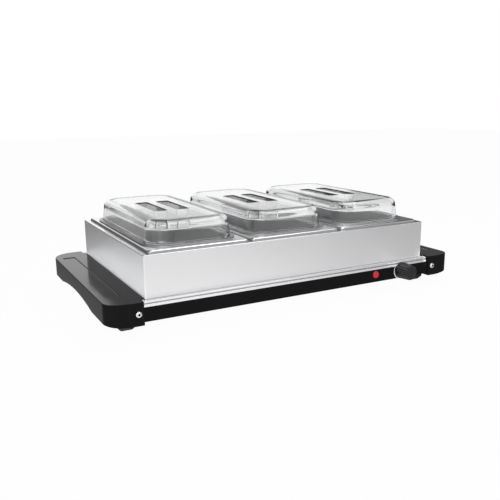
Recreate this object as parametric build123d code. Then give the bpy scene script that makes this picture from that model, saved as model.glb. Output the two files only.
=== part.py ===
from build123d import *
from math import cos, pi, radians, sin, sqrt, tan
import os

# Electric buffet warming tray, in millimetres.
# X runs along the tray, -Y is the side with the control knob, Z is up.
# The origin is on the table, under the middle of the tray.

# ---- driving dimensions -------------------------------------------------

# pans and their places in the buffet frame
pan_count = 3
pan_flange_width = 160.0
pan_flange_length = 315.0
pan_flange_thickness = 1.8
pan_flange_land = 11.0
pan_corner = 34.0
pan_depth = 64.0
pan_draft = 5.0
pan_wall = 1.0
pan_bottom_radius = 9.0
pan_hole_play = 2.0

# buffet frame: the stainless box that carries the pans
surround_border_side = 5.0
surround_border_end = 9.0
surround_gap = 5.0
surround_rise = 4.4
surround_corner = 7.0
lip_side = 10.0
lip_end = 6.0
frame_height = 67.0
frame_sheet = 1.2
frame_corner = 2.5
frame_hem = 9.0

# warming plate: the stepped stainless top of the base
plate_overhang = 9.0
plate_sheet = 1.0
rim_height = 4.0
groove_height = 2.0
groove_depth = 2.0
ridge_height = 2.5
ridge_setback = 0.8
plate_corner = 5.0

# base housing and bottom cover
panel_height = 23.0
housing_sheet = 1.0
housing_inset = 0.4
housing_side_inset = 2.0
housing_flange = 14.0
cover_sheet = 1.0
cover_play = 0.5
vent_length = 40.0
vent_width = 4.0
vent_pitch = 11.0
vent_count = 7
vent_inset = 127.0

# lids
lid_wall = 2.5
lid_height = 36.8
lid_draft = 6.5
lid_shoulder = 13.0
lid_seat_play = 1.5
lid_spigot = 1.6
lid_spigot_play = 0.6
lid_seat_thickness = 2.0
pocket_width = 21.0
pocket_length = 104.0
pocket_depth = 15.0
pocket_draft = 9.0
pocket_corner = 4.0
pocket_wall = 2.0
pocket_floor_radius = 3.0
grip_width = 18.0

# end handles
handle_reach = 56.0
handle_end = 15.5
handle_block = 16.5
handle_end_bow = 6.0
handle_end_bulge = 0.5
handle_front_corner = 21.0
handle_rear_corner = 38.0
handle_cap = 2.5
handle_underside = 21.0
handle_wall = 3.0
handle_tongue = 1.8
handle_edge = 1.2
plate_notch_play = 0.2
recess_width = 23.0
recess_end_border = 44.0
recess_depth = 1.5
recess_border = 11.0
recess_corner = 4.0
arch_end_border = 65.0
arch_rise = 13.5
underside_sweep_width = 38.0
underside_sweep_rise = 4.5
handle_rib_count = 5
handle_rib_pitch = 48.0
handle_rib_height = 7.0
handle_rib_thickness = 2.0
handle_floor_length = 86.0
handle_floor_width = 36.0

# handle brackets and screws
bracket_sheet = 2.0
bracket_height = 15.0
bracket_ear = 12.0
bracket_play = 0.4
bracket_screw_pitch = 120.0
screw_radius = 2.5
screw_head_radius = 4.75
screw_head_height = 2.6
screw_length = 12.0
screw_socket_width = 3.0
screw_socket_depth = 1.6
screw_clearance = 0.4
handle_screw_inset = 8.5
handle_screw_rise = 18.0

# feet
foot_width = 30.0
foot_length = 40.0
foot_taper_height = 6.0
foot_taper = 5.0
foot_setback = 64.0
foot_inset = 13.0
foot_screw_radius = 2.0
foot_screw_head_radius = 4.0
foot_screw_head_height = 2.0
foot_screw_length = 16.0
foot_bore_depth = 9.0
foot_bore_play = 0.6

# control knob, thermostat and lamp
knob_inset = 60.0
knob_rise = 14.5
knob_radius = 15.0
knob_front_radius = 13.0
knob_length = 25.0
knob_gap = 1.2
knob_flutes = 18
knob_flute_radius = 1.5
knob_flute_bite = 0.7
knob_skirt = 3.0
knob_edge = 1.2
shaft_radius = 3.0
shaft_flat = 1.2
shaft_play = 0.05
shaft_depth_in_knob = 12.0
bushing_radius = 5.0
bushing_length = 7.0
thermostat_width = 30.0
thermostat_depth = 22.0
thermostat_height = 14.4
nut_width = 14.0
nut_thickness = 2.4
lamp_pitch = 60.0
lamp_rise = 14.0
lamp_radius = 6.4
lamp_dome = 3.2
lamp_collar = 1.6
lamp_barrel_radius = 5.0
lamp_barrel_length = 16.0
lamp_nut_width = 13.0

# heating element and what holds it
element_radius = 3.3
element_end_margin = 62.0
element_side_margin = 73.1
element_passes = 4
clip_width = 14.0
clip_wing = 9.0
clip_sheet = 0.8
clip_inset = 85.0
reflector_sheet = 0.8
reflector_drop = 9.5
reflector_margin = 16.0
reflector_turn_up = 8.0
reflector_clearance = 34.0

# supply parts inside the base
terminal_width = 34.0
terminal_depth = 18.0
terminal_height = 13.0
terminal_ways = 3
terminal_offset = 38.0
fuse_radius = 2.2
fuse_length = 14.0
fuse_place = 40.0
gland_inset = 49.0
gland_rise = 12.0
gland_barrel_radius = 6.0
gland_flange_radius = 9.0
gland_flange = 2.5
gland_nose = 20.0
gland_bore_radius = 3.7
gland_length = 14.0
small_screw_radius = 1.6
small_screw_head_radius = 3.0
small_screw_head_height = 1.6
small_screw_length = 7.0

# ---- sizes that follow ----------------------------------------------------

surround_width = pan_flange_width + 2 * surround_border_side
surround_length = pan_flange_length + 2 * surround_border_end
pan_pitch = surround_width + surround_gap
row_length = pan_count * pan_pitch - surround_gap
frame_length = row_length + 2 * lip_side
frame_depth = surround_length + 2 * lip_end
mouth_width = pan_flange_width - 2 * pan_flange_land
mouth_length = pan_flange_length - 2 * pan_flange_land
mouth_corner = pan_corner - pan_flange_land

plate_length = frame_length + 2 * plate_overhang
plate_depth = frame_depth + 2 * plate_overhang
plate_height = rim_height + groove_height + ridge_height

housing_bottom = handle_underside + handle_tongue + 0.7
housing_top = housing_bottom + panel_height
plate_top = housing_top + plate_height
plate_under = plate_top - plate_sheet
housing_length = plate_length - 2 * housing_side_inset
housing_depth = plate_depth - 2 * housing_inset
front_face = -housing_depth / 2
lip_level = plate_top + frame_height
surround_level = lip_level + surround_rise
flange_level = surround_level + pan_flange_thickness
handle_top = plate_top + handle_cap
handle_inner = housing_length / 2
handle_outer = handle_inner + handle_reach
handle_half = frame_depth / 2 + handle_end
recess_length = 2 * (handle_half - recess_end_border)
arch_chord = 2 * (handle_half - arch_end_border)
knob_place = housing_length / 2 - knob_inset
knob_level = housing_bottom + knob_rise
lamp_place = knob_place - lamp_pitch
lamp_level = housing_bottom + lamp_rise
screw_level = handle_underside + handle_screw_rise
screw_x = handle_inner + handle_screw_inset
ear_face = handle_half - handle_wall - bracket_play
reflector_level = plate_under - 2 * element_radius - reflector_drop
cover_top = housing_bottom + housing_sheet + cover_sheet
foot_x = handle_inner + foot_inset
foot_place = handle_half - foot_setback
vent_place = housing_length / 2 - vent_inset
gland_place = housing_length / 2 - gland_inset
terminal_place = gland_place - terminal_offset
element_span = housing_length - 2 * element_end_margin
element_pitch = (housing_depth - 2 * element_side_margin) / (element_passes - 1)
clip_offset = element_span / 2 - clip_inset
pan_places = [(i - (pan_count - 1) / 2) * pan_pitch for i in range(pan_count)]


# ---- small shapes used by several parts ------------------------------------

def rounded_block(width, length, corner, low, high, draft=0.0):
    """Upright block with rounded corners, narrowing upwards by the draft angle."""
    outline = RectangleRounded(width, length, corner)
    return Pos(0, 0, low) * extrude(outline, high - low, taper=draft)


def rounded_well(width, length, corner, top, depth, draft):
    """Block that hangs down from its widest outline and narrows with depth."""
    outline = RectangleRounded(width, length, corner)
    return Pos(0, 0, top) * extrude(outline, -depth, taper=draft)


def faces_at(solid, level):
    """The flat faces of a solid that lie at one height."""
    return solid.faces().filter_by(Axis.Z).filter_by(lambda face: abs(face.center().Z - level) < 1e-4)


def rod_y(radius, x, z, y_start, y_end):
    """Round rod along Y."""
    length = abs(y_end - y_start)
    return Pos(x, (y_start + y_end) / 2, z) * Rot(90, 0, 0) * Cylinder(radius, length)


def screw_z(radius, length, head_radius, head_height, point_up=True):
    """Pan-head screw on Z: the head's seat is at the origin, the shank runs away from it."""
    shank = Cylinder(radius, length, align=(Align.CENTER, Align.CENTER, Align.MIN))
    head = Cylinder(head_radius, head_height, align=(Align.CENTER, Align.CENTER, Align.MAX))
    head = chamfer(head.edges().sort_by(Axis.Z)[0], head_height * 0.4)
    screw = shank + head
    return screw if point_up else Rot(180, 0, 0) * screw


# ---- pans and lids ----------------------------------------------------------

def food_pan():
    """Deep-drawn pan: drafted walls, a large bottom radius and a flat flange."""
    body = rounded_well(mouth_width + 2 * pan_wall, mouth_length + 2 * pan_wall, mouth_corner + pan_wall,
                        flange_level, pan_depth, pan_draft)
    body = fillet(faces_at(body, flange_level - pan_depth).edges(), pan_bottom_radius)
    flange = rounded_block(pan_flange_width, pan_flange_length, pan_corner, surround_level, flange_level)
    flange = fillet(faces_at(flange, flange_level).edges(), pan_flange_thickness * 0.6)
    cavity = rounded_well(mouth_width, mouth_length, mouth_corner, flange_level, pan_depth - pan_wall, pan_draft)
    cavity = fillet(faces_at(cavity, flange_level - pan_depth + pan_wall).edges(), pan_bottom_radius - pan_wall)
    return body + flange - cavity


def pocket_pair(grow):
    """The two finger pockets beside the grip bar, grown sideways and down by the wall."""
    shift = (grip_width + pocket_width) / 2
    top = flange_level + lid_height
    pocket = rounded_well(pocket_width + 2 * grow, pocket_length + 2 * grow, pocket_corner + grow,
                          top, pocket_depth + grow, pocket_draft)
    floor = faces_at(pocket, top - pocket_depth - grow)
    pocket = fillet(floor.edges(), pocket_floor_radius)
    return [Pos(side * shift, 0, 0) * pocket for side in (-1, 1)]


def lid_form(inset, height, shoulder):
    """The lid's domed block: drafted walls and a round shoulder under a flat top."""
    width = mouth_width + 2 * (lid_seat_play + lid_wall - inset)
    length = mouth_length + 2 * (lid_seat_play + lid_wall - inset)
    corner = mouth_corner + lid_seat_play + lid_wall - inset
    block = rounded_block(width, length, corner, flange_level, flange_level + height, lid_draft)
    return fillet(faces_at(block, flange_level + height).edges(), shoulder)


def dome_lid():
    """Clear moulded lid: a shell with two finger pockets and a spigot that drops into the pan."""
    shell = lid_form(0.0, lid_height, lid_shoulder)
    hollow = lid_form(lid_wall, lid_height - lid_wall, lid_shoulder - lid_wall)
    for sleeve in pocket_pair(pocket_wall):
        hollow -= sleeve
    shell -= hollow
    for pocket in pocket_pair(0.0):
        shell -= pocket
    low = flange_level - lid_spigot
    outer = lid_spigot_play
    spigot = rounded_block(mouth_width - 2 * outer, mouth_length - 2 * outer, mouth_corner - outer,
                           low, flange_level + 1.0)
    reach = lid_seat_play + 0.5 * lid_wall
    spigot += rounded_block(mouth_width + 2 * reach, mouth_length + 2 * reach, mouth_corner + reach,
                            flange_level, flange_level + lid_seat_thickness)
    inner = lid_spigot_play + lid_wall
    spigot -= rounded_block(mouth_width - 2 * inner, mouth_length - 2 * inner, mouth_corner - inner,
                            low - 1.0, flange_level + 2 * lid_seat_thickness)
    return shell + spigot


# ---- buffet frame -----------------------------------------------------------

def buffet_frame():
    """Folded stainless box, open below, with a raised surround for each pan."""
    box = rounded_block(frame_length, frame_depth, frame_corner, plate_top, lip_level)
    box = fillet(faces_at(box, lip_level).edges(), frame_sheet)
    inside = 2 * frame_sheet
    box -= rounded_block(frame_length - inside, frame_depth - inside, frame_corner - frame_sheet,
                         plate_top + frame_sheet, lip_level - frame_sheet)
    hem = 2 * (frame_sheet + frame_hem)
    box -= rounded_block(frame_length - hem, frame_depth - hem, frame_corner, plate_top - 1.0,
                         plate_top + 2 * frame_sheet)
    for place in pan_places:
        raised = rounded_block(surround_width, surround_length, surround_corner, lip_level - frame_sheet,
                               surround_level, 4.0)
        raised = fillet(faces_at(raised, surround_level).edges(), frame_sheet)
        box += Pos(place, 0, 0) * raised
    for place in pan_places:
        under = rounded_block(surround_width - inside, surround_length - inside, surround_corner - frame_sheet,
                              lip_level - 2 * frame_sheet, surround_level - frame_sheet, 4.0)
        box -= Pos(place, 0, 0) * under
        play = 2 * (pan_wall + pan_hole_play)
        hole = rounded_block(mouth_width + play, mouth_length + play, mouth_corner + play / 2,
                             lip_level - 2 * frame_sheet, surround_level + 1.0)
        box -= Pos(place, 0, 0) * hole
    return box


# ---- base -------------------------------------------------------------------

def warming_plate():
    """Drawn stainless plate: a vertical rim, a groove, a ridge and a flat top."""
    rim = rounded_block(plate_length, plate_depth, plate_corner, housing_top, housing_top + rim_height)
    rim = fillet(faces_at(rim, housing_top + rim_height).edges(), 0.8)
    waist_low = housing_top + rim_height - 1.0
    ridge_low = housing_top + rim_height + groove_height
    waist = rounded_block(plate_length - 2 * groove_depth, plate_depth - 2 * groove_depth,
                          plate_corner - groove_depth, waist_low, ridge_low + 1.0)
    ridge = rounded_block(plate_length - 2 * ridge_setback, plate_depth - 2 * ridge_setback,
                          plate_corner - ridge_setback, ridge_low, plate_top)
    ridge = fillet(faces_at(ridge, plate_top).edges(), 1.2)
    inset = 2 * (groove_depth + plate_sheet)
    hollow = rounded_block(plate_length - inset, plate_depth - inset, plate_corner - groove_depth,
                           housing_top - 1.0, plate_under)
    return rim + waist + ridge - hollow


def base_housing():
    """Black steel wrap round the base, with flanges turned in at the top and the bottom."""
    wrap = rounded_block(housing_length, housing_depth, 2.0, housing_bottom, housing_top)
    inside = 2 * housing_sheet
    wrap -= rounded_block(housing_length - inside, housing_depth - inside, 1.0,
                          housing_bottom + housing_sheet, housing_top - housing_sheet)
    window = 2 * housing_flange
    wrap -= rounded_block(housing_length - window, housing_depth - window, 6.0,
                          housing_bottom - 1.0, housing_top + 1.0)
    wrap -= rod_y(bushing_radius + 0.2, knob_place, knob_level, front_face - 2.0, front_face + 3.0)
    wrap -= rod_y(lamp_barrel_radius + 0.2, lamp_place, lamp_level, front_face - 2.0, front_face + 3.0)
    wrap -= rod_y(gland_barrel_radius + 0.1, gland_place, housing_bottom + gland_rise,
                  -front_face + 2.0, -front_face - 3.0)
    for x, y in cover_screw_places():
        wrap -= Pos(x, y, housing_bottom) * Cylinder(small_screw_radius + 0.05, 4 * housing_sheet)
    for hole in bracket_screw_holes(0.05):
        wrap -= hole
        wrap -= mirror(hole, Plane.YZ)
    return wrap


def cover_screw_places():
    """Eight screws round the bottom cover, on the middle of the housing's flange."""
    x = housing_length / 2 - housing_flange / 2
    y = housing_depth / 2 - housing_flange / 2
    return [(sx * x * part, sy * y) for sx in (-1, 1) for sy in (-1, 1) for part in (0.94, 0.35)]


def bottom_cover():
    """Steel cover laid on the housing's lower flange from inside, pierced with cooling slots."""
    play = 2 * (housing_sheet + cover_play)
    low = housing_bottom + housing_sheet
    cover = rounded_block(housing_length - play, housing_depth - play, 2.0, low, low + cover_sheet)
    for side in (-1, 1):
        for number in range(vent_count):
            y = (number - (vent_count - 1) / 2) * vent_pitch
            slot = extrude(SlotOverall(vent_length, vent_width), 4 * cover_sheet, both=True)
            cover -= Pos(side * vent_place, y, low) * slot
    for x, y in cover_screw_places():
        cover -= Pos(x, y, low) * Cylinder(small_screw_radius + 0.2, 4 * cover_sheet)
    return cover


def bottom_screws():
    """Self-tapping screws that hold the bottom cover, heads below."""
    screw = screw_z(small_screw_radius, small_screw_length, small_screw_head_radius, small_screw_head_height)
    return Compound([Pos(x, y, housing_bottom) * screw for x, y in cover_screw_places()])


# ---- handles ------------------------------------------------------------------

def handle_plan():
    """Plan of the right handle: at each end a flat for the screw, then a bowed end and a round corner."""
    flat_end = handle_inner + handle_block
    side = handle_half - handle_end_bow
    bow_x = (flat_end + handle_outer) / 2
    bow_y = handle_half - handle_end_bow / 2 + handle_end_bulge
    plan = make_face(Curve() + [
        Line((handle_inner, -handle_half), (flat_end, -handle_half)),
        ThreePointArc((flat_end, -handle_half), (bow_x, -bow_y), (handle_outer, -side)),
        Line((handle_outer, -side), (handle_outer, side)),
        ThreePointArc((handle_outer, side), (bow_x, bow_y), (flat_end, handle_half)),
        Line((flat_end, handle_half), (handle_inner, handle_half)),
        Line((handle_inner, handle_half), (handle_inner, -handle_half)),
    ])
    corners = plan.vertices().filter_by(lambda v: v.X > handle_outer - 1.0).sort_by(Axis.Y)
    plan = fillet(corners[0], handle_front_corner)
    rear_corner = plan.vertices().filter_by(lambda v: v.X > handle_outer - 1.0).sort_by(Axis.Y)[-1]
    return fillet(rear_corner, handle_rear_corner)


def underside_sweep():
    """Cutter that lifts the handle's lower edge in a slow curve towards its outer side."""
    start = handle_outer - underside_sweep_width
    low = handle_underside
    rise = underside_sweep_rise
    curve = ThreePointArc((start, low), (start + underside_sweep_width * 0.55, low + rise * 0.3),
                          (handle_outer, low + rise))
    outline = Curve() + [
        curve,
        Line((handle_outer, low + rise), (handle_outer + 5.0, low + rise)),
        Line((handle_outer + 5.0, low + rise), (handle_outer + 5.0, low - 5.0)),
        Line((handle_outer + 5.0, low - 5.0), (start, low - 5.0)),
        Line((start, low - 5.0), (start, low)),
    ]
    face = Plane.XZ * make_face(outline)
    return extrude(face, 2 * handle_half, both=True)


def finger_arch():
    """Cutter for the shallow arch in the outer wall, where the fingers go under."""
    half = arch_chord / 2
    low = handle_underside
    arc = ThreePointArc((-half, low), (0, low + arch_rise), (half, low))
    outline = Curve() + [arc, Line((half, low), (half, low - 5.0)), Line((half, low - 5.0), (-half, low - 5.0)),
                         Line((-half, low - 5.0), (-half, low))]
    face = Plane.YZ * make_face(outline)
    start = handle_outer - 2 * handle_wall
    return Pos(start, 0, 0) * extrude(face, 4 * handle_wall)


def handle():
    """Right handle: a moulded cap, open below, with ribs, end floors and a finger recess on top."""
    plan = handle_plan()
    body = Pos(0, 0, handle_underside) * extrude(plan, handle_top - handle_underside)
    top_edges = faces_at(body, handle_top).edges().filter_by(lambda e: e.center().X > handle_inner + 1.0)
    body = fillet(top_edges, handle_edge)
    hollow_plan = offset(plan, -handle_wall, kind=Kind.INTERSECTION)
    hollow = Pos(0, 0, handle_underside - 1.0) * extrude(hollow_plan, handle_top - handle_underside - handle_wall)
    for side in (-1, 1):
        floor_y = side * (handle_half - handle_floor_length / 2)
        hollow -= Pos(handle_inner + handle_floor_width / 2, floor_y, handle_underside) * Box(
            handle_floor_width, handle_floor_length, 2 * handle_wall)
    roof = handle_top - handle_wall - 1.0
    for number in range(handle_rib_count):
        y = (number - (handle_rib_count - 1) / 2) * handle_rib_pitch
        hollow -= Pos(handle_inner + handle_reach / 2, y, roof) * Box(
            handle_reach, handle_rib_thickness, 2 * handle_rib_height)
    body -= hollow
    body -= underside_sweep()
    body -= finger_arch()
    recess_x = handle_outer - recess_border - recess_width / 2
    recess = rounded_block(recess_width, recess_length, recess_corner, handle_top - recess_depth, handle_top + 1.0)
    body -= Pos(recess_x, 0, 0) * recess
    tongue_low = plate_top + handle_cap - handle_tongue
    tongue_reach = handle_inner - frame_length / 2 - 1.5
    tongue = Box(tongue_reach + 1.0, frame_depth - 2.0, handle_tongue,
                 align=(Align.MIN, Align.CENTER, Align.MIN))
    body += Pos(handle_inner - tongue_reach, 0, tongue_low) * tongue
    body -= rounded_block(plate_length + plate_notch_play, plate_depth + plate_notch_play, plate_corner,
                          housing_top, plate_top + 0.1)
    for side in (-1, 1):
        body -= rod_y(screw_radius + screw_clearance, screw_x, screw_level,
                      side * (handle_half + 2.0), side * (handle_half - 2 * handle_wall))
        body -= Pos(foot_x, side * foot_place, handle_underside) * Cylinder(foot_screw_radius, 4 * handle_wall)
    return body - bracket_screw_holes(0.2)


def bracket_screw_holes(play):
    """The two holes along X through the bracket, the handle's inner wall and the housing's end."""
    hole = Rot(0, 90, 0) * Cylinder(small_screw_radius + play, 4 * handle_wall)
    return [Pos(handle_inner, side * bracket_screw_pitch / 2, screw_level) * hole for side in (-1, 1)]


def bracket_screws():
    """Self-tapping screws that hold the brackets and handles to the ends of the housing."""
    seat = handle_inner + handle_wall + bracket_sheet
    screw = screw_z(small_screw_radius, small_screw_length + bracket_sheet, small_screw_head_radius,
                    small_screw_head_height)
    right = [Pos(seat, side * bracket_screw_pitch / 2, screw_level) * Rot(0, -90, 0) * screw for side in (-1, 1)]
    return Compound(right + [mirror(one, Plane.YZ) for one in right])


def handle_bracket():
    """Right bracket: a steel strip on the housing's end, with an ear turned out at each end."""
    strip = Pos(handle_inner + handle_wall + bracket_sheet / 2, 0, screw_level) * Box(
        bracket_sheet, 2 * ear_face, bracket_height)
    bracket = strip
    for side in (-1, 1):
        ear = Box(bracket_ear, bracket_sheet, bracket_height, align=(Align.MIN, Align.CENTER, Align.CENTER))
        bracket += Pos(handle_inner + handle_wall, side * (ear_face - bracket_sheet / 2), screw_level) * ear
        bracket -= rod_y(screw_radius + 0.05, screw_x, screw_level, side * (ear_face + 1.0),
                         side * (ear_face - 2 * bracket_sheet))
    return bracket - bracket_screw_holes(0.2)


def socket_screw():
    """Button-head socket screw on Z, head at the top, seat at the origin."""
    shank = Cylinder(screw_radius, screw_length, align=(Align.CENTER, Align.CENTER, Align.MAX))
    head = Cylinder(screw_head_radius, screw_head_height, align=(Align.CENTER, Align.CENTER, Align.MIN))
    head = chamfer(head.edges().sort_by(Axis.Z)[-1], screw_head_height * 0.5)
    socket = extrude(RegularPolygon(screw_socket_width / 2, 6), screw_socket_depth)
    return shank + head - Pos(0, 0, screw_head_height - screw_socket_depth) * socket


def handle_screws():
    """The four screws in the ends of the handles, heads facing front and back."""
    screws = []
    for x in (-screw_x, screw_x):
        screws.append(Pos(x, -handle_half, screw_level) * Rot(90, 0, 0) * socket_screw())
        screws.append(Pos(x, handle_half, screw_level) * Rot(-90, 0, 0) * socket_screw())
    return Compound(screws)


def foot():
    """Rubber foot: a block that narrows near the table, bored from below for its screw."""
    shaft = rounded_block(foot_width, foot_length, 3.0, foot_taper_height, handle_underside)
    top = Pos(0, 0, foot_taper_height) * RectangleRounded(foot_width, foot_length, 3.0)
    base = RectangleRounded(foot_width - 2 * foot_taper, foot_length - 2 * foot_taper, 3.0)
    block = shaft + loft([base, top])
    block -= Cylinder(foot_screw_head_radius + foot_bore_play, 2 * foot_bore_depth)
    return block - Cylinder(foot_screw_radius + 0.3, 4 * handle_underside)


def foot_places():
    """Under the handles, close to the base, set back from the ends."""
    return [(x, y) for x in (-foot_x, foot_x) for y in (-foot_place, foot_place)]


# ---- controls -------------------------------------------------------------------

def control_knob():
    """Fluted black knob with a plain domed face, a skirt and a D-shaped bore."""
    profile = Curve() + [
        Line((0, 0), (knob_radius + 0.6, 0)),
        Line((knob_radius + 0.6, 0), (knob_radius, knob_skirt)),
        Line((knob_radius, knob_skirt), (knob_front_radius, knob_length - knob_edge)),
        Line((knob_front_radius, knob_length - knob_edge), (knob_front_radius - knob_edge, knob_length)),
        Line((knob_front_radius - knob_edge, knob_length), (0, knob_length)),
        Line((0, knob_length), (0, 0)),
    ]
    knob = revolve(Plane.XZ * make_face(profile), Axis.Z)
    lean = (knob_radius - knob_front_radius) / (knob_length - knob_edge - knob_skirt)
    for number in range(knob_flutes):
        angle = 360.0 * (number + 0.5) / knob_flutes
        centre = knob_radius + knob_flute_radius - knob_flute_bite
        length = knob_length - knob_skirt + 2.0
        flute = Cylinder(knob_flute_radius, length, align=(Align.CENTER, Align.CENTER, Align.MIN))
        knob -= Rot(0, 0, angle) * Pos(centre, 0, knob_skirt) * Rot(0, -lean * 180 / pi, 0) * flute
    bore = Cylinder(shaft_radius + shaft_play, shaft_depth_in_knob, align=(Align.CENTER, Align.CENTER, Align.MIN))
    flat = Pos(0, shaft_radius + shaft_play - shaft_flat, 0) * Box(
        4 * shaft_radius, 2 * shaft_radius, 4 * shaft_depth_in_knob,
        align=(Align.CENTER, Align.MIN, Align.CENTER))
    knob -= bore - flat
    pointer = Pos(0, knob_front_radius - knob_edge - 3.5, knob_length) * Box(1.4, 5.0, 0.8)
    knob -= pointer
    return Pos(knob_place, front_face - knob_gap, knob_level) * Rot(90, 0, 0) * knob


def thermostat_shaft():
    """D-shaped shaft from inside the thermostat, through its bushing, into the knob."""
    start = front_face + housing_sheet + thermostat_depth * 0.6
    end = front_face - knob_gap - shaft_depth_in_knob + 0.3
    shaft = rod_y(shaft_radius, knob_place, knob_level, start, end)
    flat_end = front_face - knob_gap
    flat = Box(4 * shaft_radius, flat_end - end + 1.0, 2 * shaft_radius, align=(Align.CENTER, Align.MAX, Align.MIN))
    return shaft - Pos(knob_place, flat_end, knob_level + shaft_radius - shaft_flat) * flat


def thermostat_body():
    """Thermostat: a moulded block behind the panel and the bushing that passes through it."""
    back = front_face + housing_sheet
    block = Box(thermostat_width, thermostat_depth, thermostat_height, align=(Align.CENTER, Align.MIN, Align.CENTER))
    block = fillet(block.edges().filter_by(Axis.Y), 2.0)
    body = Pos(knob_place, back, knob_level) * block
    body += rod_y(bushing_radius, knob_place, knob_level, back + 0.5, front_face - knob_gap * 0.2)
    for side in (-1, 1):
        tab = Pos(knob_place + side * 6.0, back + thermostat_depth, knob_level - 2.0) * Box(0.8, 9.0, 6.3)
        body += tab
    return body - rod_y(shaft_radius + shaft_play, knob_place, knob_level, front_face - 5.0,
                        back + thermostat_depth * 0.6 + 0.5)


def indicator_lens():
    """Red lens: a round collar on the panel with a low dome."""
    sphere_radius = (lamp_radius ** 2 + lamp_dome ** 2) / (2 * lamp_dome)
    dome = Pos(0, 0, lamp_dome - sphere_radius) * Sphere(sphere_radius)
    dome &= Cylinder(lamp_radius, 2 * lamp_dome, align=(Align.CENTER, Align.CENTER, Align.MIN))
    lens = Cylinder(lamp_radius, lamp_collar, align=(Align.CENTER, Align.CENTER, Align.MIN))
    lens += Pos(0, 0, lamp_collar) * dome
    return Pos(lamp_place, front_face, lamp_level) * Rot(90, 0, 0) * lens


def indicator_holder():
    """Lamp barrel behind the lens, with its tags at the back."""
    barrel = rod_y(lamp_barrel_radius, lamp_place, lamp_level, front_face, front_face + lamp_barrel_length)
    for side in (-1, 1):
        barrel += Pos(lamp_place + side * 2.2, front_face + lamp_barrel_length + 2.5, lamp_level) * Box(0.8, 7.0, 3.0)
    return barrel


def panel_nut(width, bore, thickness, x, z):
    """Hexagon nut behind the panel."""
    nut = extrude(RegularPolygon(width / 2, 6, major_radius=False), thickness)
    nut -= Cylinder(bore, 4 * thickness)
    return Pos(x, front_face + housing_sheet, z) * Rot(-90, 0, 0) * nut


# ---- heater and supply ------------------------------------------------------------

def element_path():
    """Serpentine of straight passes joined by half circles, in plan."""
    bend = element_pitch / 2
    half = element_span / 2
    rows = [(number - (element_passes - 1) / 2) * element_pitch for number in range(element_passes)]
    lines = []
    for number, y in enumerate(rows):
        lines.append(Line((-half, y), (half, y)))
        if number < element_passes - 1:
            side = 1 if number % 2 == 0 else -1
            lines.append(ThreePointArc((side * half, y), (side * (half + bend), y + bend), (side * half, y + 2 * bend)))
    return lines


def heating_element():
    """Sheathed element clamped against the underside of the warming plate."""
    level = plate_under - element_radius - 0.05
    element = None
    for piece in element_path():
        start = piece.position_at(0)
        tube = sweep(Plane(start, z_dir=piece.tangent_at(0)) * Circle(element_radius), path=piece)
        element = tube if element is None else element + tube
    return Pos(0, 0, level) * element


def element_clips():
    """Folded clips, two on each pass, that hold the element up against the plate."""
    rows = [(number - (element_passes - 1) / 2) * element_pitch for number in range(element_passes)]
    hug = element_radius + 0.1
    drop = 2 * element_radius + 0.1
    half = hug + clip_sheet
    cap = Box(clip_width, 2 * half, drop + clip_sheet, align=(Align.CENTER, Align.CENTER, Align.MAX))
    wings = Box(clip_width, 2 * (half + clip_wing), clip_sheet, align=(Align.CENTER, Align.CENTER, Align.MAX))
    room = Box(2 * clip_width, 2 * hug, drop, align=(Align.CENTER, Align.CENTER, Align.MAX))
    clip = cap + wings - room
    places = [(x, y) for x in (-clip_offset, clip_offset) for y in rows]
    return Compound([Pos(x, y, plate_under) * clip for x, y in places])


def heat_reflector():
    """Bright aluminium tray under the element, with turned-up edges."""
    length = housing_length - 2 * (housing_flange + reflector_margin)
    depth = housing_depth - 2 * reflector_clearance - 2 * reflector_margin
    tray = rounded_block(length, depth, 4.0, reflector_level, reflector_level + reflector_turn_up)
    return tray - rounded_block(length - 2 * reflector_sheet, depth - 2 * reflector_sheet, 3.2,
                                reflector_level + reflector_sheet, reflector_level + 2 * reflector_turn_up)


def reflector_posts():
    """Four spacers that carry the reflector on the bottom cover."""
    x = clip_offset + 60.0
    y = housing_depth / 2 - reflector_clearance - 2 * reflector_margin
    height = reflector_level - cover_top
    post = Cylinder(4.0, height, align=(Align.CENTER, Align.CENTER, Align.MIN))
    return Compound([Pos(sx * x, sy * y, cover_top) * post for sx in (-1, 1) for sy in (-1, 1)])


def terminal_block():
    """Three-way terminal block on the bottom cover, near the cable entry."""
    y = -front_face - housing_flange - 8.0
    block = Box(terminal_width, terminal_depth, terminal_height, align=(Align.CENTER, Align.CENTER, Align.MIN))
    block = Pos(terminal_place, y, cover_top) * block
    step = terminal_width / terminal_ways
    for number in range(terminal_ways):
        x = terminal_place + (number - (terminal_ways - 1) / 2) * step
        block -= Pos(x, y, cover_top + terminal_height) * Cylinder(2.2, 8.0)
        block -= rod_y(2.0, x, cover_top + terminal_height * 0.35, y - terminal_depth, y + terminal_depth)
    return block


def thermal_fuse():
    """Cut-out fuse in a clip under the warming plate."""
    fuse = Pos(fuse_place, 0, plate_under - fuse_radius - clip_sheet * 0.5) * Rot(0, 90, 0) * Cylinder(
        fuse_radius, fuse_length)
    clip = Pos(fuse_place, 0, plate_under) * Box(
        fuse_length * 0.5, 16.0, clip_sheet, align=(Align.CENTER, Align.CENTER, Align.MAX))
    return fuse + clip


def strain_relief():
    """Cable entry bush in the back of the housing, bored for the supply cord."""
    y = -front_face
    level = housing_bottom + gland_rise
    bush = rod_y(gland_barrel_radius, gland_place, level, y - gland_length, y)
    bush += rod_y(gland_flange_radius, gland_place, level, y, y + gland_flange)
    nose = Cone(gland_flange_radius - 1.5, gland_flange_radius - 3.5, gland_nose,
                align=(Align.CENTER, Align.CENTER, Align.MIN))
    bush += Pos(gland_place, y + gland_flange, level) * Rot(-90, 0, 0) * nose
    return bush - rod_y(gland_bore_radius, gland_place, level, y - 2 * gland_length, y + 2 * gland_length)


# ---- writing the parts --------------------------------------------------------------

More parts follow.
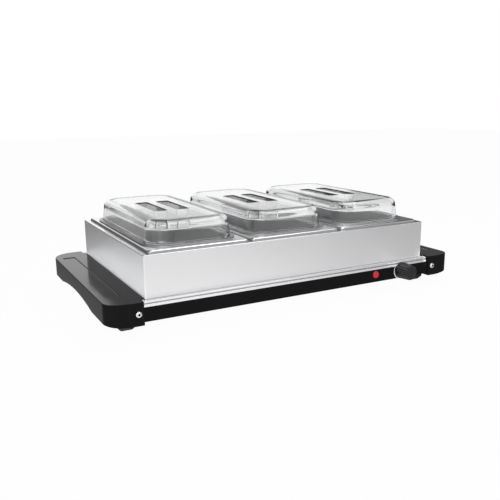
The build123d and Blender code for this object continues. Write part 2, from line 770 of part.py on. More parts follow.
def build_parts():
    """Every named piece of the tray, at rest."""
    right_handle = handle()
    right_bracket = handle_bracket()
    one_foot = foot()
    foot_screw = screw_z(foot_screw_radius - 0.05, foot_screw_length, foot_screw_head_radius, foot_screw_head_height)
    pan = food_pan()
    lid = dome_lid()
    parts = {
        "base_housing": base_housing(),
        "bottom_cover": bottom_cover(),
        "bottom_screws": bottom_screws(),
        "warming_plate": warming_plate(),
        "heating_element": heating_element(),
        "element_clips": element_clips(),
        "heat_reflector": heat_reflector(),
        "reflector_posts": reflector_posts(),
        "thermostat_body": thermostat_body(),
        "thermostat_shaft": thermostat_shaft(),
        "control_knob": control_knob(),
        "indicator_lens": indicator_lens(),
        "indicator_holder": indicator_holder(),
        "indicator_nut": panel_nut(lamp_nut_width, lamp_barrel_radius, nut_thickness, lamp_place, lamp_level),
        "terminal_block": terminal_block(),
        "thermal_fuse": thermal_fuse(),
        "strain_relief": strain_relief(),
        "handle_right": right_handle,
        "handle_left": mirror(right_handle, Plane.YZ),
        "bracket_right": right_bracket,
        "bracket_left": mirror(right_bracket, Plane.YZ),
        "bracket_screws": bracket_screws(),
        "handle_screws": handle_screws(),
        "feet": Compound([Pos(x, y, 0) * one_foot for x, y in foot_places()]),
        "foot_screws": Compound([Pos(x, y, foot_bore_depth) * foot_screw for x, y in foot_places()]),
        "buffet_frame": buffet_frame(),
    }
    for name, place in zip(("left", "centre", "right"), pan_places):
        parts["pan_" + name] = Pos(place, 0, 0) * pan
        parts["lid_" + name] = Pos(place, 0, 0) * lid
    return parts


os.makedirs("parts", exist_ok=True)
for node, shape in build_parts().items():
    export_step(shape, "parts/" + node + ".step")
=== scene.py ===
"""Electric buffet warmer: a hot plate on a black base with end handles, and on it a stainless
frame that carries three food pans under clear lift-off lids.  Lengths are in metres."""
import math

import bmesh
import bpy
import numpy as np
from mathutils import Matrix, Vector
from mathutils.geometry import tessellate_polygon


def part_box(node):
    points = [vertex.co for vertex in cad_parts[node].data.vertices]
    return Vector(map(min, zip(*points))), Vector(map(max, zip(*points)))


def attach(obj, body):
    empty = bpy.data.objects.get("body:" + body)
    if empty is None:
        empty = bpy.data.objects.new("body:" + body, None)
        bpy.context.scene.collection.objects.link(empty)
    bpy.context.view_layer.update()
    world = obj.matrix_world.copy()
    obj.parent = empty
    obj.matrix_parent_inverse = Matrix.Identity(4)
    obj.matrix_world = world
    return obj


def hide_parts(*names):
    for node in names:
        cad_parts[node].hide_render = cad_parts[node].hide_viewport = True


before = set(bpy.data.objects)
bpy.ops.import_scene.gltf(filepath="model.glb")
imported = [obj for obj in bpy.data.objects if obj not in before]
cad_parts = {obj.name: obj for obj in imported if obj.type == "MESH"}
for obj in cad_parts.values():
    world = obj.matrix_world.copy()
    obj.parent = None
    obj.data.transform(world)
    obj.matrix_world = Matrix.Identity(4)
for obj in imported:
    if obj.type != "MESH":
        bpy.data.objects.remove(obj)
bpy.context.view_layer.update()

# ---- Camera ---------------------------------------------------------------------------------
# The photographer stands in front of the tray, a little to its left, and looks slightly
# down on it from the height of a table camera.
camera_place = Vector((-0.5531, -1.0279, 0.3339))
camera_yaw = math.radians(28.28)
camera_pitch = math.radians(12.98)
camera_roll = math.radians(-0.50)

forward = Vector((math.sin(camera_yaw) * math.cos(camera_pitch),
                  math.cos(camera_yaw) * math.cos(camera_pitch),
                  -math.sin(camera_pitch)))
level_right = Vector((math.cos(camera_yaw), -math.sin(camera_yaw), 0.0))
level_up = level_right.cross(forward)
camera_right = math.cos(camera_roll) * level_right + math.sin(camera_roll) * level_up
camera_up = -math.sin(camera_roll) * level_right + math.cos(camera_roll) * level_up

camera_data = bpy.data.cameras.new("photo_camera")
camera_data.sensor_width = 36.0
camera_data.lens = 45.09
camera_data.clip_start = 0.01
camera = bpy.data.objects.new("photo_camera", camera_data)
camera.matrix_world = Matrix((
    (camera_right.x, camera_up.x, -forward.x, camera_place.x),
    (camera_right.y, camera_up.y, -forward.y, camera_place.y),
    (camera_right.z, camera_up.z, -forward.z, camera_place.z),
    (0.0, 0.0, 0.0, 1.0)))
bpy.context.scene.collection.objects.link(camera)
bpy.context.scene.camera = camera
bpy.context.scene.view_settings.view_transform = "Standard"

# ---- Studio ---------------------------------------------------------------------------------
# A pale table top in a photographer's studio.  The camera sees a white room.  Polished metal
# and clear plastic see white backdrops round the table, with a dark gap at the left and at the
# right, under a dim ceiling.  The floor keeps a soft shadow.


def wire(tree, start, end):
    """Joins an output socket to an input socket."""
    tree.links.new(start, end)


def add_node(tree, kind, **values):
    """Puts a shader node into a tree; keywords set its properties, or its inputs by name."""
    node = tree.nodes.new(kind)
    for key, value in values.items():
        name = key.replace("_", " ").title()
        if hasattr(node, key):
            setattr(node, key, value)
        else:
            node.inputs[name].default_value = value
    return node


def add_range(tree, source, low, high, to_low, to_high):
    """Maps a number smoothly from low..high to to_low..to_high; returns the result's socket."""
    node = add_node(tree, "ShaderNodeMapRange", interpolation_type="SMOOTHSTEP", from_min=low,
                    from_max=high, to_min=to_low, to_max=to_high)
    wire(tree, source, node.inputs["Value"])
    return node.outputs["Result"]


def add_math(tree, operation, first, second):
    """One step of arithmetic on two sockets or numbers; returns the result's socket."""
    node = add_node(tree, "ShaderNodeMath", operation=operation)
    for socket, value in zip(node.inputs, (first, second)):
        if isinstance(value, (int, float)):
            socket.default_value = value
        else:
            wire(tree, value, socket)
    return node.outputs["Value"]


def add_gap(tree, bearing, middle, half, soft, level):
    """Light by bearing: full round the room and down to a level in a gap; angles in radians."""
    away = add_math(tree, "SUBTRACT", bearing, middle)
    away = add_math(tree, "ABSOLUTE", away, 0.0)
    return add_range(tree, away, half - soft, half + soft, level, 1.0)


studio_white = (1.0, 1.0, 1.0, 1.0)
studio_shade = (0.62, 0.63, 0.65, 1.0)
shade_strength = 0.45
left_gap, left_gap_half, left_gap_soft = math.radians(-38.0), math.radians(33.0), 0.06
right_gap, right_gap_half, right_gap_soft = math.radians(66.0), math.radians(28.5), 0.01
gap_level = 0.17
ceiling_start, ceiling_end = 0.34, 0.60
ceiling_level = 0.24

room = bpy.data.worlds.new("studio")
room.use_nodes = True
bpy.context.scene.world = room
room_tree = room.node_tree
room_tree.nodes.clear()
room_path = add_node(room_tree, "ShaderNodeLightPath")
room_place = add_node(room_tree, "ShaderNodeTexCoord")
room_apart = add_node(room_tree, "ShaderNodeSeparateXYZ")
wire(room_tree, room_place.outputs["Generated"], room_apart.inputs["Vector"])
room_bearing = add_math(room_tree, "ARCTAN2", room_apart.outputs["X"], room_apart.outputs["Y"])
room_below = add_range(room_tree, room_apart.outputs["Z"], ceiling_start, ceiling_end, 1.0,
                       ceiling_level)
room_left = add_gap(room_tree, room_bearing, left_gap, left_gap_half, left_gap_soft, gap_level)
room_right = add_gap(room_tree, room_bearing, right_gap, right_gap_half, right_gap_soft, gap_level)
room_span = add_math(room_tree, "MINIMUM", room_left, room_right)
room_span = add_math(room_tree, "MAXIMUM", room_span, room_path.outputs["Is Transmission Ray"])
room_level = add_math(room_tree, "MULTIPLY", room_below, room_span)
room_level = add_math(room_tree, "MAXIMUM", room_level, room_path.outputs["Is Camera Ray"])
room_mirror = add_math(room_tree, "MAXIMUM", room_path.outputs["Is Glossy Ray"],
                       room_path.outputs["Is Transmission Ray"])
room_any = add_math(room_tree, "MAXIMUM", room_path.outputs["Is Camera Ray"], room_mirror)
room_seen = add_node(room_tree, "ShaderNodeBackground")
room_seen.inputs["Color"].default_value = studio_white
wire(room_tree, room_level, room_seen.inputs["Strength"])
room_light = add_node(room_tree, "ShaderNodeBackground")
room_light.inputs["Color"].default_value = studio_shade
room_light.inputs["Strength"].default_value = shade_strength
room_mix = add_node(room_tree, "ShaderNodeMixShader")
room_out = add_node(room_tree, "ShaderNodeOutputWorld")
wire(room_tree, room_any, room_mix.inputs["Fac"])
wire(room_tree, room_light.outputs["Background"], room_mix.inputs[1])
wire(room_tree, room_seen.outputs["Background"], room_mix.inputs[2])
wire(room_tree, room_mix.outputs["Shader"], room_out.inputs["Surface"])

floor_half = 6.0
floor_mesh = bpy.data.meshes.new("table_top")
floor_mesh.from_pydata(
    [(-floor_half, -floor_half, 0.0), (floor_half, -floor_half, 0.0),
     (floor_half, floor_half, 0.0), (-floor_half, floor_half, 0.0)], [], [(0, 1, 2, 3)])
floor = bpy.data.objects.new("table_top", floor_mesh)
bpy.context.scene.collection.objects.link(floor)

# a painted pool of light on the table, as the key lamp would leave, seen only in polished metal; it
# is brightest in front of the left handle
painted_pool_centre, painted_pool_near, painted_pool_far = (-0.45, -0.50, 0.0), 0.25, 1.30
painted_pool_edge_level = 0.24
floor_own_light = 0.97
floor_paint = bpy.data.materials.new("studio_floor")
floor_paint.use_nodes = True
floor_tree = floor_paint.node_tree
floor_tree.nodes.clear()
floor_path = add_node(floor_tree, "ShaderNodeLightPath")
floor_place = add_node(floor_tree, "ShaderNodeTexCoord")
floor_far = add_node(floor_tree, "ShaderNodeVectorMath", operation="DISTANCE")
floor_far.inputs[1].default_value = painted_pool_centre
wire(floor_tree, floor_place.outputs["Object"], floor_far.inputs[0])
# painted light: to glossy rays the table glows most at the pool's centre and fades towards its edge
painted_pool_glow = add_range(floor_tree, floor_far.outputs["Value"], painted_pool_near, painted_pool_far,
                       1.0, painted_pool_edge_level)
floor_plain = add_math(floor_tree, "MAXIMUM", floor_path.outputs["Is Camera Ray"],
                       floor_path.outputs["Is Transmission Ray"])
painted_pool_glow = add_math(floor_tree, "MAXIMUM", painted_pool_glow, floor_plain)
floor_matt = add_node(floor_tree, "ShaderNodeBsdfDiffuse")
floor_matt.inputs["Color"].default_value = (0.9, 0.9, 0.9, 1.0)
floor_seen = add_node(floor_tree, "ShaderNodeEmission")
floor_seen.inputs["Color"].default_value = studio_white
wire(floor_tree, painted_pool_glow, floor_seen.inputs["Strength"])
floor_any = add_math(floor_tree, "MAXIMUM", floor_plain, floor_path.outputs["Is Glossy Ray"])
floor_share = add_math(floor_tree, "MULTIPLY", floor_any, floor_own_light)
floor_mix = add_node(floor_tree, "ShaderNodeMixShader")
floor_out = add_node(floor_tree, "ShaderNodeOutputMaterial")
wire(floor_tree, floor_share, floor_mix.inputs["Fac"])
wire(floor_tree, floor_matt.outputs["BSDF"], floor_mix.inputs[1])
wire(floor_tree, floor_seen.outputs["Emission"], floor_mix.inputs[2])
wire(floor_tree, floor_mix.outputs["Shader"], floor_out.inputs["Surface"])
floor_mesh.materials.append(floor_paint)


def softbox(name, place, aim, width, height, watts):
    """Rectangular studio lamp at a place, turned to face a point."""
    lamp = bpy.data.lights.new(name, "AREA")
    lamp.shape = "RECTANGLE"
    lamp.size = width
    lamp.size_y = height
    lamp.energy = watts
    stand = bpy.data.objects.new(name, lamp)
    look = (Vector(aim) - Vector(place)).to_track_quat("-Z", "Y").to_matrix().to_4x4()
    stand.matrix_world = Matrix.Translation(place) @ look
    bpy.context.scene.collection.objects.link(stand)


softbox("key_softbox", place=(-1.3, -1.6, 1.5), aim=(0.0, 0.0, 0.08), width=1.2, height=1.0,
        watts=14.0)
softbox("top_softbox", place=(0.45, -0.15, 1.6), aim=(0.05, 0.0, 0.1), width=1.7, height=1.2,
        watts=11.0)

# ---- Base housing ---------------------------------------------------------------------------
# A black stove-enamelled steel wrap, folded round the base.  Its front is the control panel,
# smooth and glossy; a printed crescent beside the knob shows the heat growing, and the print glows
# a little as painted light.


def new_finish(name, colour, metallic=0.0, roughness=0.4):
    """A material with one Principled surface; returns the material, its tree and surface."""
    material = bpy.data.materials.new(name)
    material.use_nodes = True
    tree = material.node_tree
    surface = tree.nodes["Principled BSDF"]
    surface.inputs["Base Color"].default_value = (*colour, 1.0)
    surface.inputs["Metallic"].default_value = metallic
    surface.inputs["Roughness"].default_value = roughness
    return material, tree, surface


def new_group(name, numbers, outputs):
    """A shader node group: named number inputs with their usual values, and named outputs."""
    group = bpy.data.node_groups.new(name, "ShaderNodeTree")
    for label, value in numbers.items():
        socket = group.interface.new_socket(label, in_out="INPUT", socket_type="NodeSocketFloat")
        socket.default_value = value
    for label, kind in outputs.items():
        group.interface.new_socket(label, in_out="OUTPUT", socket_type=kind)
    start = group.nodes.new("NodeGroupInput")
    end = group.nodes.new("NodeGroupOutput")
    return group, start, end


def place_group(tree, group, **numbers):
    """Puts a node group into a material with that material's own values."""
    node = tree.nodes.new("ShaderNodeGroup")
    node.node_tree = group
    for key, value in numbers.items():
        node.inputs[key.replace("_", " ").title()].default_value = value
    return node


def add_gloss(group, start, end, source):
    """Gloss that follows a noise: the group's Gloss, less or more its Gloss Change."""
    share = add_node(group, "ShaderNodeMapRange", from_min=0.3, from_max=0.7)
    wire(group, source, share.inputs["Value"])
    for operation, limit in (("SUBTRACT", "To Min"), ("ADD", "To Max")):
        value = add_math(group, operation, start.outputs["Gloss"], start.outputs["Gloss Change"])
        wire(group, value, share.inputs[limit])
    wire(group, share.outputs["Result"], end.inputs["Roughness"])
    wire(group, source, end.inputs["Shade"])


def add_blend(tree, factor, first, second):
    """Mixes two colours, each a tuple or a socket, by a factor's socket; returns the result's."""
    node = add_node(tree, "ShaderNodeMix", data_type="RGBA")
    for label, value in (("A", first), ("B", second)):
        if isinstance(value, tuple):
            node.inputs[label].default_value = (*value, 1.0)
        else:
            wire(tree, value, node.inputs[label])
    wire(tree, factor, node.inputs["Factor"])
    return node.outputs["Result"]


# moulded or sprayed surface: a fine pebbled height and a slow change of gloss
pattern_sockets = {"Height": "NodeSocketFloat", "Roughness": "NodeSocketFloat",
                   "Shade": "NodeSocketFloat"}
mottle, mottle_in, mottle_out = new_group(
    "pebbled_surface", {"Grain Size": 0.0006, "Gloss": 0.3, "Gloss Change": 0.08}, pattern_sockets)
mottle_place = add_node(mottle, "ShaderNodeTexCoord")
mottle_scale = add_math(mottle, "DIVIDE", 1.0, mottle_in.outputs["Grain Size"])
mottle_fine = add_node(mottle, "ShaderNodeTexNoise", detail=2.0)
mottle_wide = add_node(mottle, "ShaderNodeTexNoise", scale=22.0, detail=4.0)
wire(mottle, mottle_place.outputs["Object"], mottle_fine.inputs["Vector"])
wire(mottle, mottle_place.outputs["Object"], mottle_wide.inputs["Vector"])
wire(mottle, mottle_scale, mottle_fine.inputs["Scale"])
wire(mottle, mottle_fine.outputs["Fac"], mottle_out.inputs["Height"])
add_gloss(mottle, mottle_in, mottle_out, mottle_wide.outputs["Fac"])


def lay_relief(tree, surface, pattern, depth):
    """Gives a surface a pattern's gloss, and its height to a depth in metres."""
    wire(tree, pattern.outputs["Roughness"], surface.inputs["Roughness"])
    bump = add_node(tree, "ShaderNodeBump", strength=1.0, distance=depth)
    wire(tree, pattern.outputs["Height"], bump.inputs["Height"])
    wire(tree, bump.outputs["Normal"], surface.inputs["Normal"])


def lay_tones(tree, surface, pattern, dark, light):
    """Gives a surface a pattern's shade, between two tones."""
    tones = add_blend(tree, pattern.outputs["Shade"], dark, light)
    wire(tree, tones, surface.inputs["Base Color"])


def moulded_finish(name, dark, light, grain, gloss, change, depth, metallic=0.0, shine=0.5):
    """Plastic, enamel, rubber or plated metal: two close tones, pebbled, with its own gloss."""
    material, tree, surface = new_finish(name, light, metallic)
    surface.inputs["Specular IOR Level"].default_value = shine
    grains = place_group(tree, mottle, grain_size=grain, gloss=gloss, gloss_change=change)
    lay_tones(tree, surface, grains, dark, light)
    lay_relief(tree, surface, grains, depth)
    return material


def painted_pale_reflection(material, pale):
    """Painted reflection: to glossy rays the piece's colour is painted as pale as the lit table, so
    polished metal beside it shows no dark reflection of it.
    """
    tree = material.node_tree
    base = tree.nodes["Principled BSDF"].inputs["Base Color"]
    path = add_node(tree, "ShaderNodeLightPath")
    seen = add_blend(tree, path.outputs["Is Glossy Ray"], base.links[0].from_socket, (pale,) * 3)
    wire(tree, seen, base)


def dress(node_name, material):
    """Gives a CAD node its finish."""
    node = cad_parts[node_name]
    node.data.materials.clear()
    node.data.materials.append(material)


enamel = moulded_finish("black_enamel", (0.005, 0.005, 0.006), (0.008, 0.008, 0.009),
                        grain=0.0009, gloss=0.26, change=0.04, depth=0.000006, shine=0.08)
dress("base_housing", enamel)


def bent_profile(points, radii, steps=6, guard=0.0004):
    """A polyline whose inner corners become arcs.

    At a corner the two legs are cut back by radius * tan(half the turn) and an arc joins
    them; one more point lies just outside each end of the arc, which keeps the flats flat.
    """
    points = np.asarray(points, float)
    rows = [points[:1]]
    for before, corner, after, radius in zip(points[:-2], points[1:-1], points[2:], radii):
        leg_in = (before - corner) / np.linalg.norm(before - corner)
        leg_out = (after - corner) / np.linalg.norm(after - corner)
        half_turn = (math.pi - math.acos(np.clip(leg_in @ leg_out, -1.0, 1.0))) / 2
        cut = radius * math.tan(half_turn)
        middle = leg_in + leg_out
        centre = corner + middle / np.linalg.norm(middle) * radius / math.cos(half_turn)
        start, end = corner + leg_in * cut, corner + leg_out * cut
        share = np.linspace(0.0, 1.0, steps + 1)[:, None]
        first, last = (start - centre) / radius, (end - centre) / radius
        turn = 2 * half_turn
        arc = (np.sin((1 - share) * turn) * first + np.sin(share * turn) * last) / math.sin(turn)
        rows.append(np.vstack([start + leg_in * guard, centre + radius * arc,
                               end + leg_out * guard]))
    rows.append(points[-1:])
    return np.vstack(rows)


def round_rectangle_rows(half_x, half_y, corner, profile, centre_x=0.0, steps=10, guard=0.0006):
    """A profile carried round a rounded rectangle, as rows of points.

    Each profile point is an offset outwards and a height.  Round a quarter turn the point is
    corner centre + (corner + offset) * (cos, sin); when the offset eats up the whole corner
    the corner's centre moves inwards instead.
    """
    profile = np.asarray(profile, float)
    quarter = np.concatenate([[0.0], np.linspace(0.0, math.pi / 2, steps + 1), [math.pi / 2]])
    slide = np.concatenate([[-guard], np.zeros(steps + 1), [guard]])
    angle = np.concatenate([quarter + k * math.pi / 2 for k in range(4)])
    slide = np.tile(slide, 4)
    side_x = np.repeat([1.0, -1.0, -1.0, 1.0], steps + 3)
    side_y = np.repeat([1.0, 1.0, -1.0, -1.0], steps + 3)
    reach = np.maximum(corner + profile[:, :1], 0.0)
    inward = np.minimum(corner + profile[:, :1], 0.0)
    x = side_x * (half_x - corner + inward) + reach * np.cos(angle) - slide * np.sin(angle)
    y = side_y * (half_y - corner + inward) + reach * np.sin(angle) + slide * np.cos(angle)
    z = np.broadcast_to(profile[:, 1:], x.shape)
    return np.stack([x + centre_x, y, z], axis=-1)


class Skin:
    """Collects rows of points and flat panels into one mesh, with a map along the surface."""

    def __init__(self):
        self.points, self.faces, self.map, self.tones = [], [], [], []
        self.count, self.tone = 0, 0

    def add_rows(self, rows, flip=False):
        """Closed rings: quads between ring i and i+1, joined round from the last to the first.
        The map runs along the ring in u and down the profile in v."""
        rings, around = rows.shape[:2]
        index = self.count + np.arange(rings * around).reshape(rings, around)
        nxt = np.roll(index, -1, axis=1)
        quads = np.stack([index[:-1], nxt[:-1], nxt[1:], index[1:]], axis=-1).reshape(-1, 4)
        step = np.linalg.norm(np.roll(rows[0], -1, axis=0) - rows[0], axis=-1)
        u = np.concatenate([[0.0], np.cumsum(step)])
        drop = np.linalg.norm(rows[1:, 0] - rows[:-1, 0], axis=-1)
        v = np.concatenate([[0.0], np.cumsum(drop)])
        grid = np.stack(np.meshgrid(u, v), axis=-1)
        uv = np.stack([grid[:-1, :-1], grid[:-1, 1:], grid[1:, 1:], grid[1:, :-1]],
                      axis=2).reshape(-1, 4, 2)
        if flip:
            quads, uv = quads[:, ::-1], uv[:, ::-1]
        self.points.append(rows.reshape(-1, 3))
        self.faces += quads.tolist()
        self.tones += [self.tone] * len(quads)
        self.map.append(uv.reshape(-1, 2))
        self.count += rings * around

    def add_panel(self, loops, flip=False):
        """A flat panel at one height inside the first loop and outside the others."""
        same_place = 1e-7
        loops = [loop[np.linalg.norm(loop - np.roll(loop, 1, axis=0), axis=-1) > same_place]
                 for loop in loops]
        corners = [[Vector(point) for point in loop.tolist()] for loop in loops]
        flat = np.vstack(loops)
        triangles = np.array(tessellate_polygon(corners))
        a, b, c = (flat[triangles[:, k]] for k in range(3))
        up = np.cross(b - a, c - a)[:, 2] > 0
        wrong = up if flip else ~up
        triangles[wrong] = triangles[wrong][:, ::-1]
        self.points.append(flat)
        self.faces += (triangles + self.count).tolist()
        self.tones += [self.tone] * len(triangles)
        self.map.append(flat[triangles][:, :, :2].reshape(-1, 2))
        self.count += len(flat)

    def add_cap(self, loop):
        """One face inside a flat convex loop, facing the way the loop turns about."""
        self.points.append(loop)
        self.faces.append((self.count + np.arange(len(loop))).tolist())
        self.tones.append(self.tone)
        self.map.append(loop[:, :2])
        self.count += len(loop)

    def build(self, name, materials, body, replaced=()):
        """Makes the object: welded, smooth except at sharp folds, riding on its body.  The tone
        set while a face was added picks its material from the list."""
        weld, sharp = 1e-6, math.radians(50.0)
        mesh = bpy.data.meshes.new(name)
        mesh.from_pydata(np.vstack(self.points).tolist(), [], self.faces)
        layer = mesh.uv_layers.new(name="surface")
        layer.data.foreach_set("uv", np.vstack(self.map).ravel())
        mesh.polygons.foreach_set("material_index", self.tones)
        work = bmesh.new()
        work.from_mesh(mesh)
        bmesh.ops.remove_doubles(work, verts=work.verts, dist=weld)
        work.to_mesh(mesh)
        work.free()
        mesh.polygons.foreach_set("use_smooth", np.ones(len(mesh.polygons), bool))
        mesh.set_sharp_from_angle(angle=sharp)
        for material in materials:
            mesh.materials.append(material)
        piece = bpy.data.objects.new(name, mesh)
        bpy.context.scene.collection.objects.link(piece)
        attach(piece, body)
        if replaced:
            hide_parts(*replaced)


print_white, print_tree, print_surface = new_finish(
    "dial_print", (0.75, 0.75, 0.76), roughness=0.35)
print_noise = add_node(print_tree, "ShaderNodeTexNoise", scale=900.0)
print_tone = add_blend(print_tree, print_noise.outputs["Fac"], (0.86,) * 3, (0.96,) * 3)
# painted light: the print glows a little, so it stays white in the knob's shade
print_surface.inputs["Emission Strength"].default_value = 0.3
wire(print_tree, print_tone, print_surface.inputs["Base Color"])

knob_low, knob_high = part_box("control_knob")
knob_x = (knob_low.x + knob_high.x) / 2
knob_z = (knob_low.z + knob_high.z) / 2
panel_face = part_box("base_housing")[0].y
print_lift = 0.00008
dial_start, dial_end, dial_steps = 138.0, 248.0, 49
dial_radius, dial_narrow, dial_wide = 0.0165, 0.00066, 0.0022


def dial_row(share, side):
    """One edge of the crescent on the panel, -1 the inner and 1 the outer: points on a circle
    about the knob, half the width off the dial's radius; the width grows evenly with the angle."""
    angle = np.radians(dial_start + (dial_end - dial_start) * share)
    reach = dial_radius + side * (dial_narrow + (dial_wide - dial_narrow) * share) / 2
    return np.stack([knob_x + reach * np.cos(angle), np.full_like(angle, panel_face - print_lift),
                     knob_z + reach * np.sin(angle)], axis=-1)


dial_share = np.linspace(0.0, 1.0, dial_steps)
dial_mesh = bpy.data.meshes.new("dial_scale")
dial_mesh.from_pydata(
    np.vstack([dial_row(dial_share, -1), dial_row(dial_share, 1)]).tolist(), [],
    [(k, k + 1, dial_steps + k + 1, dial_steps + k) for k in range(dial_steps - 1)])
dial_mesh.materials.append(print_white)
dial_scale = bpy.data.objects.new("dial_scale", dial_mesh)
bpy.context.scene.collection.objects.link(dial_scale)
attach(dial_scale, "base")

# ---- Stainless finishes ---------------------------------------------------------------------
# Thin stainless sheet, brushed along its length before it was folded: long fine scratches that
# spread the light across them, and a slow change of gloss from handling.
brushed, brushed_in, brushed_out = new_group(
    "brushed_sheet",
    {"Line Width": 0.0004, "Line Length": 0.05, "Gloss": 0.3, "Gloss Change": 0.06},
    pattern_sockets)
brushed_place = add_node(brushed, "ShaderNodeUVMap")
brushed_apart = add_node(brushed, "ShaderNodeSeparateXYZ")
brushed_join = add_node(brushed, "ShaderNodeCombineXYZ")
brushed_lines = add_node(brushed, "ShaderNodeTexNoise", scale=1.0, detail=3.0)
brushed_wide = add_node(brushed, "ShaderNodeTexNoise", scale=9.0, detail=3.0)
brushed_blend = add_node(brushed, "ShaderNodeMix", data_type="FLOAT")
brushed_blend.inputs["Factor"].default_value = 0.5
wire(brushed, brushed_place.outputs["UV"], brushed_apart.inputs["Vector"])
for axis, size in (("X", "Line Length"), ("Y", "Line Width")):
    stretched = add_math(brushed, "DIVIDE", brushed_apart.outputs[axis], brushed_in.outputs[size])
    wire(brushed, stretched, brushed_join.inputs[axis])
wire(brushed, brushed_join.outputs["Vector"], brushed_lines.inputs["Vector"])
wire(brushed, brushed_place.outputs["UV"], brushed_wide.inputs["Vector"])
wire(brushed, brushed_lines.outputs["Fac"], brushed_blend.inputs["A"])
wire(brushed, brushed_wide.outputs["Fac"], brushed_blend.inputs["B"])
wire(brushed, brushed_lines.outputs["Fac"], brushed_out.inputs["Height"])
add_gloss(brushed, brushed_in, brushed_out, brushed_blend.outputs["Result"])


def steel_finish(name, dark, light, line_width, line_length, gloss, change, depth, spread=0.0):
    """Bare metal with scratches along the surface map's u direction, and light that spreads
    across them by the share given."""
    material, tree, surface = new_finish(name, light, metallic=1.0)
    surface.inputs["Anisotropic"].default_value = spread
    surface.inputs["Anisotropic Rotation"].default_value = 0.25
    along = add_node(tree, "ShaderNodeTangent", direction_type="UV_MAP", uv_map="surface")
    wire(tree, along.outputs["Tangent"], surface.inputs["Tangent"])
    lines = place_group(tree, brushed, line_width=line_width, line_length=line_length,
                        gloss=gloss, gloss_change=change)
    lay_tones(tree, surface, lines, dark, light)
    lay_relief(tree, surface, lines, depth)
    return material


sheet_steel = steel_finish("brushed_stainless", (0.86, 0.86, 0.87), (0.94, 0.94, 0.95),
                           line_width=0.0004, line_length=0.05, gloss=0.36, change=0.05,
                           depth=0.0000012, spread=0.5)
edge_steel = steel_finish("polished_stainless", (0.88, 0.88, 0.89), (0.94, 0.94, 0.95),
                          line_width=0.0006, line_length=0.05, gloss=0.16, change=0.03,
                          depth=0.0000002)
# painted shade: a darker copy of the stainless for the plate's groove and the feet of the surrounds
shaded_steel = steel_finish("shaded_stainless", (0.42, 0.42, 0.43), (0.52, 0.52, 0.53),
                            line_width=0.0006, line_length=0.05, gloss=0.30, change=0.04,
                            depth=0.0000004)

# ---- Warming plate --------------------------------------------------------------------------
# The hot plate is one drawn stainless sheet.  Its edge steps down over the housing as a ridge,
# a narrow groove and a vertical rim, all with small pressed radii.
plate_low, plate_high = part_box("warming_plate")
plate_half_x, plate_half_y = plate_high.x, plate_high.y
rim_base, plate_top = plate_low.z, plate_high.z
plate_corner = 0.005
plate_sheet = 0.001
rim_rise, groove_rise, ridge_inset, groove_inset = 0.004, 0.002, 0.0008, 0.002
plate_ring = 0.004

plate_edge = bent_profile(
    [(0.0, rim_base), (0.0, rim_base + rim_rise), (-groove_inset, rim_base + rim_rise),
     (-groove_inset, rim_base + rim_rise + groove_rise),
     (-ridge_inset, rim_base + rim_rise + groove_rise), (-ridge_inset, plate_top),
     (-plate_ring, plate_top)],
    [0.0010, 0.0005, 0.0004, 0.0004, 0.0011], steps=6, guard=0.00015)
plate_inner = bent_profile(
    [(-plate_ring, plate_top - plate_sheet),
     (-groove_inset - plate_sheet, plate_top - plate_sheet),
     (-groove_inset - plate_sheet, rim_base)], [0.0008], steps=3, guard=0.00015)
plate_rows = round_rectangle_rows(plate_half_x, plate_half_y, plate_corner, plate_edge, steps=8)
plate_under = round_rectangle_rows(plate_half_x, plate_half_y, plate_corner, plate_inner, steps=8)

# the groove, from ring 10 to ring 27 of the edge, has the darker steel, painted shade
groove_first, groove_last = 10, 27
plate = Skin()
plate.add_rows(plate_rows[:groove_first + 1])
plate.add_rows(plate_rows[groove_last:])
plate.add_panel([plate_rows[-1]])
plate.tone = 1
plate.add_rows(plate_rows[groove_first:groove_last + 1])
plate.tone = 0
plate.add_rows(plate_under)
plate.add_panel([plate_under[0]], flip=True)
plate.add_rows(np.stack([plate_under[-1], plate_rows[0]]))
plate.build("warming_plate_sheet", [edge_steel, shaded_steel], "base",
            ["warming_plate"])

# ---- Buffet frame ---------------------------------------------------------------------------
# The box that carries the pans is folded from stainless sheet and open below.  Each pan has its
# own raised surround with soft corners; narrow channels run between the surrounds.
box_low, box_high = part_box("buffet_frame")
box_half_x, box_half_y = box_high.x, box_high.y
box_base, surround_top = box_low.z, box_high.z
surround_rise = 0.0044
lip_level = surround_top - surround_rise
box_sheet = 0.0012
box_corner = 0.0025
hem_width, lip_width = 0.0102, 0.002
surround_half_x, surround_half_y, surround_corner = 0.085, 0.1665, 0.007
opening_half_x, opening_half_y, opening_corner = 0.072, 0.1495, 0.038
pan_pitch = 0.175
pan_places = {"left": -pan_pitch, "centre": 0.0, "right": pan_pitch}

box_edge = bent_profile(
    [(-hem_width, box_base), (0.0, box_base), (0.0, lip_level), (-lip_width, lip_level)],
    [0.0010, 0.0014], steps=6, guard=0.0002)
box_rows = round_rectangle_rows(box_half_x, box_half_y, box_corner, box_edge, steps=8)
box_hem = round_rectangle_rows(
    box_half_x, box_half_y, box_corner,
    [(-hem_width, box_base + box_sheet), (-hem_width, box_base)], steps=8)
box_inside = round_rectangle_rows(
    box_half_x, box_half_y, box_corner,
    [(-lip_width, lip_level - box_sheet), (-box_sheet, lip_level - box_sheet),
     (-box_sheet, box_base + box_sheet), (-hem_width, box_base + box_sheet)], steps=8)
surround_foot, surround_lean, surround_flat = 0.0018, 0.0003, 0.005
surround_edge = bent_profile(
    [(surround_foot, lip_level), (0.0, lip_level), (-surround_lean, surround_top),
     (-surround_flat, surround_top)], [0.0007, 0.0029], steps=8, guard=0.00015)
surround_inside = bent_profile(
    [(surround_foot, lip_level - box_sheet), (-box_sheet, lip_level - box_sheet),
     (-box_sheet - surround_lean, surround_top - box_sheet),
     (-surround_flat, surround_top - box_sheet)], [0.0004, 0.0018], steps=6, guard=0.00015)
opening_edge = np.array([(0.0, surround_top), (0.0, surround_top - box_sheet)])
